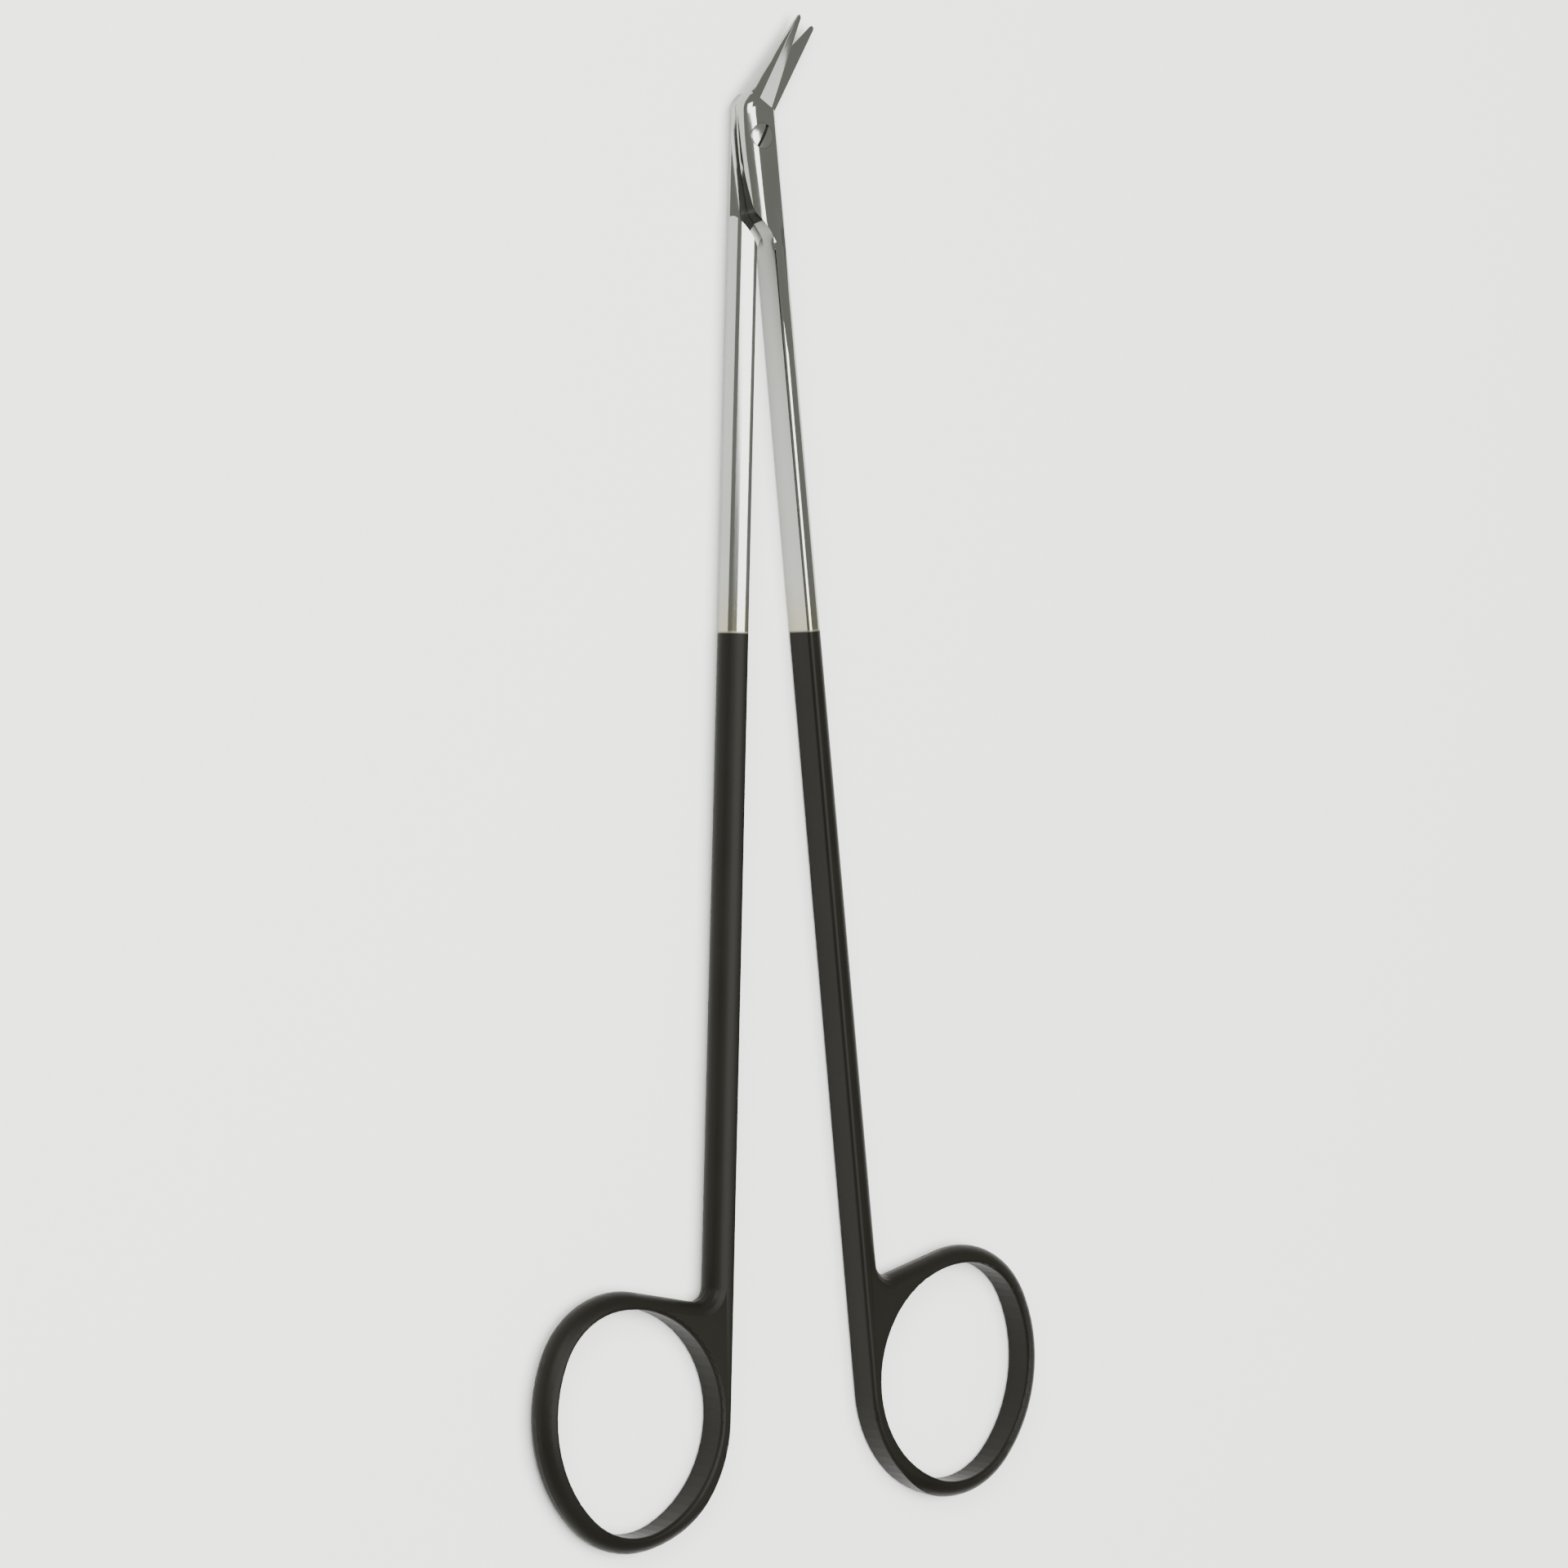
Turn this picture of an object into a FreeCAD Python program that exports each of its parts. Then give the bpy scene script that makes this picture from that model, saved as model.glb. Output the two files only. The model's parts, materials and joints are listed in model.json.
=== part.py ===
import FreeCAD, Part

import math
import os
from types import SimpleNamespace

import Sketcher
from FreeCAD import Placement, Rotation, Vector

# Angled surgical scissors, 190 mm long, lying flat.
#
# Two forged halves cross in a lap joint and turn on a slotted screw.
# Each half is one forging: finger ring, long slender shank, half-lapped
# head and short tapered blade that leans to one side. The front half has
# the right ring and the upper blade. The back half is made the same way
# and turned over, so it has the left ring and the lower blade.
#
# Frame: origin on the screw's axis, in the plane that the part rests on.
# +Y runs along the closed shanks towards the blades, +X to the right and
# +Z up, out of the screw's head. Each half is drawn closed, about the
# screw's axis, and then opened by half of the rest opening.
# In a half's own drawing the shank lies on the +X side, Z is zero at the
# middle of the handle's thickness and the shank runs down -Y.

# Driving sizes in millimetres and degrees: alias, value, meaning.
SIZES = [
    ("rest_opening", 8.0, "angle between the shanks as the part lies"),
    ("handle_thickness", 4.3, "front to back, shank and ring"),
    ("round_side_radius", 2.2, "cross section's round outer side"),
    ("belt_depth", 0.03, "flat belt left along the round side's middle"),
    ("edge_radius", 0.5, "inner edges of shank and ring"),
    ("joint_gap", 0.42, "shank's inner side to the closed centre plane, at the joint"),
    ("ring_gap", 0.22, "the same, beside the ring"),
    ("shank_side_joint", 3.05, "shank's outer side from the centre plane, at the joint"),
    ("shank_side_ring", 3.3, "the same, above the ring"),
    ("shank_top_outer", 10.0, "pivot to the full section's end, outer side"),
    ("shank_top_inner", 13.8, "the same, inner side"),
    ("ring_start", 140.5, "pivot to the ring's top"),
    ("ring_end", 172.1, "pivot to the ring's foot"),
    ("ring_top_inset", 4.8, "ring's upper circle from the centre plane"),
    ("ring_top_radius", 11.4, "ring's upper circle"),
    ("ring_low_inset", 2.0, "ring's lower circle from the centre plane"),
    ("ring_low_radius", 11.8, "ring's lower circle"),
    ("ring_outer_flank", 19.2, "arc that joins both circles on the outer side"),
    ("ring_inner_ease", 0.05, "inner flank's radius over the smallest that fits"),
    ("ring_width", 2.15, "ring's wall in plan"),
    ("ring_shoulder_slope", 9.5, "fall of the ring's shoulder towards the shank"),
    ("crotch_radius", 1.8, "hollow corner between shank and ring"),
    ("rounding_end", 10.0, "where the round side starts to run out, past the ring's foot"),
    ("rounding_runout", 40.0, "turn over which it runs out"),
    ("runout_radius", 17.0, "radius of that run-out"),
    ("lap_height", -0.4, "front half's lap face, from the handle's mid-plane"),
    ("lap_clearance", 0.05, "between the two lap faces"),
    ("head_top", 1.87, "front half's ground front face, from the mid-plane"),
    ("head_wall", 2.2, "head's inner wall from the centre plane, at its widest"),
    ("head_wall_widest", 0.8, "pivot to that place"),
    ("head_wall_bend", 60.0, "radius of the wall, in plan"),
    ("head_wall_foot", 9.2, "pivot to the wall's lower end"),
    ("head_foot_radius", 3.0, "rounding between wall and slanted shoulder"),
    ("shoulder_end", 12.35, "pivot to where the slanted shoulder meets the shank's inner side"),
    ("shoulder_hollow", 2.5, "hollow corner there"),
    ("wall_edge_radius", 2.0, "rounding of the wall's upper edge"),
    ("wall_edge_bend", 3.5, "pivot to where that rounding leaves the wall"),
    ("wall_edge_foot", 10.5, "pivot to where it turns along the shoulder"),
    ("wall_edge_turn", 3.0, "radius of that turn"),
    ("wall_edge_slant", 30.0, "its lean along the shoulder"),
    ("wall_edge_end", 13.6, "pivot to its end"),
    ("head_overlap", 16.0, "pivot to the head's lower end, inside the shank"),
    ("spine_corner_radius", 2.2, "head's corner to the spine of the front blade"),
    ("spine_hollow_radius", 6.5, "head's hollow corner to the spine of the back blade"),
    ("edge_corner_radius", 3.0, "head's corner to the edge of the back blade"),
    ("blend_start", 27.0, "pivot to where the ground front face meets the shank"),
    ("blend_end", 14.0, "pivot to where it becomes level"),
    ("blade_base_x", 1.05, "middle of the blade's root from the centre plane"),
    ("blade_base_y", 3.9, "the same, ahead of the pivot"),
    ("blade_lean", 36.7, "blade's lean to the right"),
    ("blade_length", 13.6, "root to point"),
    ("blade_bury", 0.4, "how far the blade reaches back into the head"),
    ("blade_inset", 0.03, "how far it stays inside the head's faces there"),
    ("blade_root_width", 4.86, "across the blade's root"),
    ("blade_point_width", 0.68, "across the blade's point"),
    ("blade_point_thickness", 0.24, "at the point"),
    ("blade_land", 0.06, "height of the cutting edge's land"),
    ("ridge_point", 0.3, "spine to the ridge where the bevel starts, at the point"),
    ("spine_round_point", 0.35, "radius of the round spine, at the point"),
    ("blade_cap", 0.25, "length over which the point's corners are taken off"),
    ("blade_tip_width", 0.34, "what is left of the point's width"),
    ("spine_run", 4.0, "how far past the root the spine's rounding tool starts"),
    ("screw_thread", 2.0, "screw's shaft"),
    ("screw_head", 3.1, "screw's head"),
    ("screw_head_height", 0.87, "height of the head's rim over its seat"),
    ("screw_dome", 0.2, "rise of the head's dome"),
    ("screw_slot_width", 0.4, "slot in the head"),
    ("screw_slot_depth", 0.45, "the same, from the rim"),
    ("screw_slot_turn", 30.0, "slot's turn to the right of the shanks"),
    ("screw_end_recess", 0.1, "screw's end below the back face"),
    ("turn_clearance", 0.03, "around and under the screw in the front half"),
    ("thread_clearance", 0.01, "around the screw in the back half"),
]

CUT_MARGIN = 2.5
# How far apart two points may lie and still count as one.
NEAR = 1e-3


class Size:
    """A measure: its value and the expression that gives it in the document."""

    def __init__(self, value, text):
        self.value = value
        self.text = text

    def __add__(self, other):
        return Size(self.value + value_of(other), f"({self.text} + {text_of(other)})")

    def __sub__(self, other):
        return Size(self.value - value_of(other), f"({self.text} - {text_of(other)})")

    def __mul__(self, other):
        return Size(self.value * value_of(other), f"({self.text} * {text_of(other)})")

    def __truediv__(self, other):
        return Size(self.value / value_of(other), f"({self.text} / {text_of(other)})")

    def __rsub__(self, other):
        return Size(other - self.value, f"({float(other)!r} - {self.text})")

    def __neg__(self):
        return Size(-self.value, f"(0 - {self.text})")

    def limited(self, room):
        """Return the same size, or the room that there is for it where that is less."""
        return self if self.value < room else Size(room, repr(room))


ZERO = Size(0.0, "0")


def value_of(measure):
    return measure.value if isinstance(measure, Size) else float(measure)


def text_of(measure):
    return measure.text if isinstance(measure, Size) else repr(float(measure))


def sine(angle):
    return Size(math.sin(math.radians(angle.value)), f"sin({angle.text})")


def cosine(angle):
    return Size(math.cos(math.radians(angle.value)), f"cos({angle.text})")


def angle_of(slope):
    """Return the angle in degrees whose tangent is the slope."""
    return Size(math.degrees(math.atan(slope.value)), f"(atan({slope.text}) / 1 deg)")


def root(square):
    return Size(math.sqrt(square.value), f"sqrt({square.text})")


def flat(point):
    """Return a pair of measures as a vector of their values."""
    return Vector(value_of(point[0]), value_of(point[1]), 0)


doc = FreeCAD.newDocument("SurgicalScissors")
sheet = doc.addObject("Spreadsheet::Sheet", "Sizes")
for row, (alias, amount, meaning) in enumerate(SIZES, start=1):
    sheet.set(f"A{row}", alias)
    sheet.set(f"B{row}", str(amount))
    sheet.set(f"C{row}", meaning)
    sheet.setAlias(f"B{row}", alias)
doc.recompute()
S = SimpleNamespace(**{alias: Size(amount, f"Sizes.{alias}") for alias, amount, _ in SIZES})


# Sketch helpers

def new_sketch(body, name, plane, base=(0, 0, 0), turn=None):
    """Make a sketch on one of the body's origin planes, moved and turned on it."""
    sketch = body.newObject("Sketcher::SketchObject", name)
    support = [part for part in body.Origin.OriginFeatures if part.Role == plane][0]
    sketch.AttachmentSupport = (support, [""])
    sketch.MapMode = "FlatFace"
    if turn:
        axis, angle = turn
        sketch.AttachmentOffset = Placement(Vector(0, 0, 0), Rotation(axis, 1))
        sketch.setExpression("AttachmentOffset.Rotation.Angle", angle.text)
    for letter, measure in zip("xyz", base):
        if isinstance(measure, Size):
            sketch.setExpression(f"AttachmentOffset.Base.{letter}", measure.text)
    return sketch


def bind(sketch, kind, *where, measure):
    """Add one dimension to a sketch and bind it to its expression, angles in degrees."""
    amount = math.radians(measure.value) if kind == "Angle" else measure.value
    number = sketch.addConstraint(Sketcher.Constraint(kind, *where, amount))
    sketch.setExpression(f"Constraints[{number}]", measure.text)


def pin(sketch, edge, end, point):
    """Fix one end of an edge at a point."""
    for kind, measure in zip(("DistanceX", "DistanceY"), point):
        if measure is not None:
            bind(sketch, kind, edge, end, measure=measure)


def add_line(sketch, start, finish):
    return sketch.addGeometry(Part.LineSegment(start, finish), False)


def add_arc(sketch, centre, start, finish):
    """Add an arc that runs anticlockwise from one point to another."""
    radius = (start - centre).Length
    angles = [math.atan2(p.y - centre.y, p.x - centre.x) for p in (start, finish)]
    circle = Part.Circle(centre, Vector(0, 0, 1), radius)
    return sketch.addGeometry(Part.ArcOfCircle(circle, *angles), False)


def polygon(sketch, corners):
    """Draw a closed outline of straight edges, each corner fixed by its measures."""
    count = len(corners)
    edges = [add_line(sketch, flat(corners[i]), flat(corners[(i + 1) % count])) for i in range(count)]
    for number, edge in enumerate(edges):
        following = edges[(number + 1) % count]
        sketch.addConstraint(Sketcher.Constraint("Coincident", edge, 2, following, 1))
        pin(sketch, edge, 1, corners[number])
    return edges


def join_tangent(sketch, first, first_end, second, second_end):
    sketch.addConstraint(Sketcher.Constraint("Tangent", first, first_end, second, second_end))


def edges_where(shape, test):
    """Name the edges of a shape that pass a test."""
    return [f"Edge{n}" for n, edge in enumerate(shape.Edges, start=1) if test(edge)]


def round_edges(body, name, base, radius, test):
    """Round the edges of the last feature that pass a test."""
    doc.recompute()
    names = edges_where(base.Shape, test)
    if not names:
        raise RuntimeError(f"{name}: no edge to round")
    fillet = body.newObject("PartDesign::Fillet", name)
    fillet.Base = (base, names)
    fillet.Radius = radius.value
    fillet.setExpression("Radius", radius.text)
    return fillet


def is_upright_at(point):
    """Return a test for an upright edge that stands at a point of the plan."""
    spot = flat(point)

    def test(edge):
        ends = [vertex.Point for vertex in edge.Vertexes]
        return len(ends) == 2 and all(math.hypot(p.x - spot.x, p.y - spot.y) < NEAR for p in ends)

    return test


def is_inner_edge(edge):
    """Return whether an edge of the handle is rounded: round the finger hole or on the inner side."""
    level = S.handle_thickness.value / 2
    if any(abs(abs(vertex.Z) - level) > NEAR for vertex in edge.Vertexes):
        return False
    middle = edge.valueAt((edge.FirstParameter + edge.LastParameter) / 2)
    ring = flat(TOP)
    on_hole = math.hypot(middle.x - ring.x, middle.y - ring.y) < S.ring_top_radius.value
    on_inner_side = middle.x < (S.joint_gap.value + S.shank_side_joint.value) / 2
    return middle.y < -S.shank_top_inner.value and (on_hole or on_inner_side)


# Finger ring and shank

def touching_centre(first, first_radius, second, second_radius, radius, side):
    """Centre of an arc that holds two circles and touches both from outside.

    Args:
        first, second: centres of the circles.
        radius: the arc's radius.
        side: 1 puts the centre to the left of the way from first to second, -1 to the right.
    """
    way = second - first
    gap = way.Length
    near, far = radius - first_radius, radius - second_radius
    along = (near ** 2 - far ** 2 + gap ** 2) / (2 * gap)
    across = math.sqrt(near ** 2 - along ** 2)
    way.normalize()
    return first + way * along + Vector(-way.y, way.x, 0) * (side * across)


def touch(circle_centre, radius, arc_centre):
    """Point where a circle touches the arc that holds it."""
    way = circle_centre - arc_centre
    way.normalize()
    return circle_centre + way * radius


TOP = (S.ring_top_inset + S.ring_top_radius, -(S.ring_start + S.ring_top_radius))
LOW = (S.ring_low_inset + S.ring_low_radius, S.ring_low_radius - S.ring_end)
CIRCLE_GAP = root((TOP[0] - LOW[0]) * (TOP[0] - LOW[0]) + (TOP[1] - LOW[1]) * (TOP[1] - LOW[1]))
INNER_FLANK = (S.ring_top_radius + S.ring_low_radius + CIRCLE_GAP) / 2 + S.ring_inner_ease


def draw_ring_hole(sketch):
    """Draw the finger hole: the ring's outer form, one wall smaller all round."""
    top, low = flat(TOP), flat(LOW)
    radii = [radius - S.ring_width for radius in
             (S.ring_top_radius, INNER_FLANK, S.ring_low_radius, S.ring_outer_flank)]
    top_radius, inner_radius, low_radius, outer_radius = [radius.value for radius in radii]
    inner = touching_centre(top, top_radius, low, low_radius, inner_radius, 1)
    outer = touching_centre(top, top_radius, low, low_radius, outer_radius, -1)
    joints = [touch(top, top_radius, outer), touch(top, top_radius, inner),
              touch(low, low_radius, inner), touch(low, low_radius, outer)]
    centres = [top, inner, low, outer]
    arcs = [add_arc(sketch, centres[i], joints[i], joints[(i + 1) % 4]) for i in range(4)]
    for number, arc in enumerate(arcs):
        join_tangent(sketch, arc, 2, arcs[(number + 1) % 4], 1)
        bind(sketch, "Radius", arc, measure=radii[number])
    pin(sketch, arcs[0], 3, TOP)
    pin(sketch, arcs[2], 3, LOW)


def side_line(y):
    """Place on the shank's outer side at a distance from the pivot."""
    start, finish = S.shank_side_joint, S.shank_side_ring
    share = (y - S.shank_top_outer) / (S.ring_start - S.shank_top_outer)
    return start + (finish - start) * share


class OuterSide:
    """Numbers of the outer side: shank, crotch, ring shoulder, top circle and flank."""

    def __init__(self):
        slope = math.radians(S.ring_shoulder_slope.value)
        top, low = flat(TOP), flat(LOW)
        self.shoulder_way = Vector(-math.cos(slope), -math.sin(slope), 0)
        normal = Vector(-math.sin(slope), math.cos(slope), 0)
        self.shoulder_end = top + normal * S.ring_top_radius.value
        high = Vector(S.shank_side_joint.value, -S.shank_top_outer.value, 0)
        deep = Vector(S.shank_side_ring.value, -S.ring_start.value, 0)
        down = deep - high
        down.normalize()
        outward = Vector(-down.y, down.x, 0)
        radius = S.crotch_radius.value
        # The crotch arc's centre is one radius off both the shank's side and the shoulder.
        side_point = high + outward * radius
        shoulder_point = self.shoulder_end + normal * radius
        cross = down.x * self.shoulder_way.y - down.y * self.shoulder_way.x
        apart = shoulder_point - side_point
        travel = (apart.x * self.shoulder_way.y - apart.y * self.shoulder_way.x) / cross
        self.crotch_centre = side_point + down * travel
        self.crotch_start = self.crotch_centre - outward * radius
        self.crotch_end = self.crotch_centre - normal * radius
        self.flank_centre = touching_centre(
            top, S.ring_top_radius.value, low, S.ring_low_radius.value, S.ring_outer_flank.value, -1)
        self.flank_start = touch(top, S.ring_top_radius.value, self.flank_centre)
        self.flank_end = touch(low, S.ring_low_radius.value, self.flank_centre)


OUTER = OuterSide()


def draw_outer_side(sketch, start, foot):
    """Draw the outer side from a start on the shank down to a foot point on the low circle.

    Returns:
        Numbers of the first edge and of the low circle's arc.
    """
    top, low = flat(TOP), flat(LOW)
    shank = add_line(sketch, flat(start), OUTER.crotch_start)
    crotch = add_arc(sketch, OUTER.crotch_centre, OUTER.crotch_start, OUTER.crotch_end)
    shoulder = add_line(sketch, OUTER.crotch_end, OUTER.shoulder_end)
    top_arc = add_arc(sketch, top, OUTER.flank_start, OUTER.shoulder_end)
    flank = add_arc(sketch, OUTER.flank_centre, OUTER.flank_end, OUTER.flank_start)
    low_arc = add_arc(sketch, low, foot, OUTER.flank_end)
    join_tangent(sketch, shank, 2, crotch, 1)
    join_tangent(sketch, crotch, 2, shoulder, 1)
    join_tangent(sketch, shoulder, 2, top_arc, 2)
    join_tangent(sketch, top_arc, 1, flank, 2)
    join_tangent(sketch, flank, 1, low_arc, 2)
    pin(sketch, shank, 1, start)
    lean = (S.shank_side_ring - S.shank_side_joint) / (S.ring_start - S.shank_top_outer)
    bind(sketch, "Angle", shank, measure=angle_of(lean) - 90)
    bind(sketch, "Radius", crotch, measure=S.crotch_radius)
    bind(sketch, "Angle", shoulder, measure=S.ring_shoulder_slope)
    pin(sketch, top_arc, 3, TOP)
    bind(sketch, "Radius", top_arc, measure=S.ring_top_radius)
    bind(sketch, "Radius", flank, measure=S.ring_outer_flank)
    pin(sketch, low_arc, 3, LOW)
    bind(sketch, "Radius", low_arc, measure=S.ring_low_radius)
    return shank, low_arc


def draw_handle(sketch):
    """Draw the plan of shank and ring, without the finger hole."""
    low = flat(LOW)
    inner_top = (S.joint_gap, -S.shank_top_inner)
    outer_top = (S.shank_side_joint, -S.shank_top_outer)
    flank = INNER_FLANK.value
    # The inner side is one line from the joint to the ring, leaning by the change of gap.
    # Its foot lies where the ring's inner flank touches it.
    slope = (S.joint_gap - S.ring_gap) / (-LOW[1] - S.shank_top_inner)
    lean = math.atan(slope.value)
    down = Vector(-math.sin(lean), -math.cos(lean), 0)
    across = Vector(math.cos(lean), -math.sin(lean), 0)
    start = flat(inner_top)
    to_low = low - start
    depth = to_low.dot(across)
    reach = math.sqrt((flank - S.ring_low_radius.value) ** 2 - (flank - depth) ** 2)
    foot = start + down * (to_low.dot(down) - reach)
    flank_centre = foot + across * flank
    low_point = touch(low, S.ring_low_radius.value, flank_centre)

    shank, low_arc = draw_outer_side(sketch, outer_top, low_point)
    inner = add_line(sketch, start, foot)
    inner_flank = add_arc(sketch, flank_centre, foot, low_point)
    end = add_line(sketch, flat(outer_top), start)
    join_tangent(sketch, inner, 2, inner_flank, 1)
    join_tangent(sketch, inner_flank, 2, low_arc, 1)
    sketch.addConstraint(Sketcher.Constraint("Coincident", end, 1, shank, 1))
    sketch.addConstraint(Sketcher.Constraint("Coincident", end, 2, inner, 1))
    pin(sketch, inner, 1, inner_top)
    bind(sketch, "Angle", inner, measure=-90 - angle_of(slope))
    bind(sketch, "Radius", inner_flank, measure=INNER_FLANK)


def draw_rounding_path(sketch):
    """Draw the way along which the outer side is rounded, with its run-out at the ring's foot."""
    turn = math.radians(S.rounding_end.value)
    low = flat(LOW)
    below = Vector(-math.sin(turn), -math.cos(turn), 0)
    foot = low + below * S.ring_low_radius.value
    runout_centre = foot - below * S.runout_radius.value
    end_angle = math.radians(S.rounding_end.value + S.rounding_runout.value)
    end = runout_centre + Vector(-math.sin(end_angle), -math.cos(end_angle), 0) * S.runout_radius.value
    start_y = S.blade_base_y + CUT_MARGIN
    start = (side_line(-start_y), start_y)
    shank, low_arc = draw_outer_side(sketch, start, foot)
    runout = add_arc(sketch, runout_centre, end, foot)
    join_tangent(sketch, low_arc, 1, runout, 2)
    bind(sketch, "DistanceX", low_arc, 1, measure=LOW[0] - S.ring_low_radius * sine(S.rounding_end))
    bind(sketch, "Radius", runout, measure=S.runout_radius)
    end_x = (LOW[0] + (S.runout_radius - S.ring_low_radius) * sine(S.rounding_end)
             - S.runout_radius * sine(S.rounding_end + S.rounding_runout))
    bind(sketch, "DistanceX", runout, 1, measure=end_x)
    return start


def closed_chain(sketch, edges):
    """Join edges end to start all the way round."""
    for first, second in zip(edges, edges[1:] + edges[:1]):
        sketch.addConstraint(Sketcher.Constraint("Coincident", first, 2, second, 1))


def draw_round_side(sketch, centre_x, outside):
    """Draw what is cut away around the round outer side: the space outside its circle."""
    radius = S.round_side_radius
    half = S.handle_thickness / 2 + CUT_MARGIN
    corners = [(centre_x, radius), (centre_x, half), (outside, half), (outside, -half),
               (centre_x, -half), (centre_x, -radius)]
    lines = [add_line(sketch, flat(a), flat(b)) for a, b in zip(corners, corners[1:])]
    # The arc runs anticlockwise from the last corner, below, to the first one, above.
    arc = add_arc(sketch, Vector(centre_x.value, 0, 0), flat(corners[-1]), flat(corners[0]))
    closed_chain(sketch, lines + [arc])
    for line, corner in zip(lines[1:], corners[1:]):
        pin(sketch, line, 1, corner)
    pin(sketch, arc, 1, (centre_x, None))
    pin(sketch, arc, 2, (centre_x, None))
    pin(sketch, arc, 3, (centre_x, ZERO))
    bind(sketch, "Radius", arc, measure=radius)


def draw_wall_round(sketch, centre_x, reach):
    """Draw what is cut away along the head's inner wall, above the circle's middle."""
    radius = S.wall_edge_radius
    outside = Size(reach, repr(reach))
    high = S.handle_thickness / 2 + CUT_MARGIN
    corners = [(centre_x - radius, ZERO), (outside, ZERO), (outside, high), (centre_x, high),
               (centre_x, radius)]
    lines = [add_line(sketch, flat(a), flat(b)) for a, b in zip(corners, corners[1:])]
    # The arc runs anticlockwise from the last corner, on top, to the first one.
    arc = add_arc(sketch, Vector(centre_x.value, 0, 0), flat(corners[-1]), flat(corners[0]))
    closed_chain(sketch, lines + [arc])
    for line, corner in zip(lines[1:], corners[1:]):
        pin(sketch, line, 1, corner)
    pin(sketch, arc, 1, (centre_x, None))
    pin(sketch, arc, 2, (None, ZERO))
    pin(sketch, arc, 3, (centre_x, ZERO))
    bind(sketch, "Radius", arc, measure=radius)


def draw_blend(sketch):
    """Draw, seen from the side, what is ground off the front half's face."""
    level = S.handle_thickness / 2
    above = level + CUT_MARGIN
    ahead = S.blade_base_y + CUT_MARGIN
    polygon(sketch, [(-S.blend_start, level), (-S.blend_end, S.head_top), (ahead, S.head_top),
                     (ahead, above), (-S.blend_start, above)])


# Head and blade

def on_wall(y):
    """Place of the head's inner wall on the plan, at a distance ahead of the pivot."""
    rise = y + S.head_wall_widest
    bend = S.head_wall_bend
    return bend - S.head_wall - root(bend * bend - rise * rise)


def wall_crossing(start, way, radius):
    """Point where a line from the blade first meets a circle about the wall's own centre."""
    centre = flat((S.head_wall_bend - S.head_wall, -S.head_wall_widest))
    offset = start - centre
    along = offset.dot(way)
    half_chord = math.sqrt(along ** 2 - offset.dot(offset) + radius ** 2)
    reach = min(r for r in (-along - half_chord, -along + half_chord) if r > 0)
    return start + way * reach


class Blade:
    """Place and taper of one blade in the plan of its half.

    Attributes:
        lean: the middle line's lean away from +Y, positive to the right.
        edge_lean, spine_lean: leans of the cutting edge and the spine.
        middle: middle of the root.
        edge_corner, spine_corner: ends of the root.
    """

    def __init__(self, side):
        self.side = side
        self.lean = S.blade_lean * side
        slope = (S.blade_root_width - S.blade_point_width) / (S.blade_length * 2)
        self.taper = angle_of(slope)
        self.edge_lean = self.lean - self.taper
        self.spine_lean = self.lean + self.taper
        self.middle = (S.blade_base_x * side, S.blade_base_y)
        half = S.blade_root_width / 2
        across = (cosine(self.lean), -sine(self.lean))
        self.edge_corner = tuple(m + a * half for m, a in zip(self.middle, across))
        self.spine_corner = tuple(m - a * half for m, a in zip(self.middle, across))

    def spine_place(self, along):
        """Point of the spine's line at a distance past the root."""
        return (self.spine_corner[0] + sine(self.spine_lean) * along,
                self.spine_corner[1] + cosine(self.spine_lean) * along)

    def place(self, along):
        """Point of the middle line at a distance past the root."""
        return (self.middle[0] + sine(self.lean) * along, self.middle[1] + cosine(self.lean) * along)


def heading(lean):
    """Way that leans from +Y to the right."""
    angle = math.radians(lean.value)
    return Vector(math.sin(angle), math.cos(angle), 0)


def meet(first, first_way, second, second_way):
    """Point where two lines of the plan cross."""
    cross = first_way.x * second_way.y - first_way.y * second_way.x
    apart = second - first
    return first + first_way * ((apart.x * second_way.y - apart.y * second_way.x) / cross)


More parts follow.
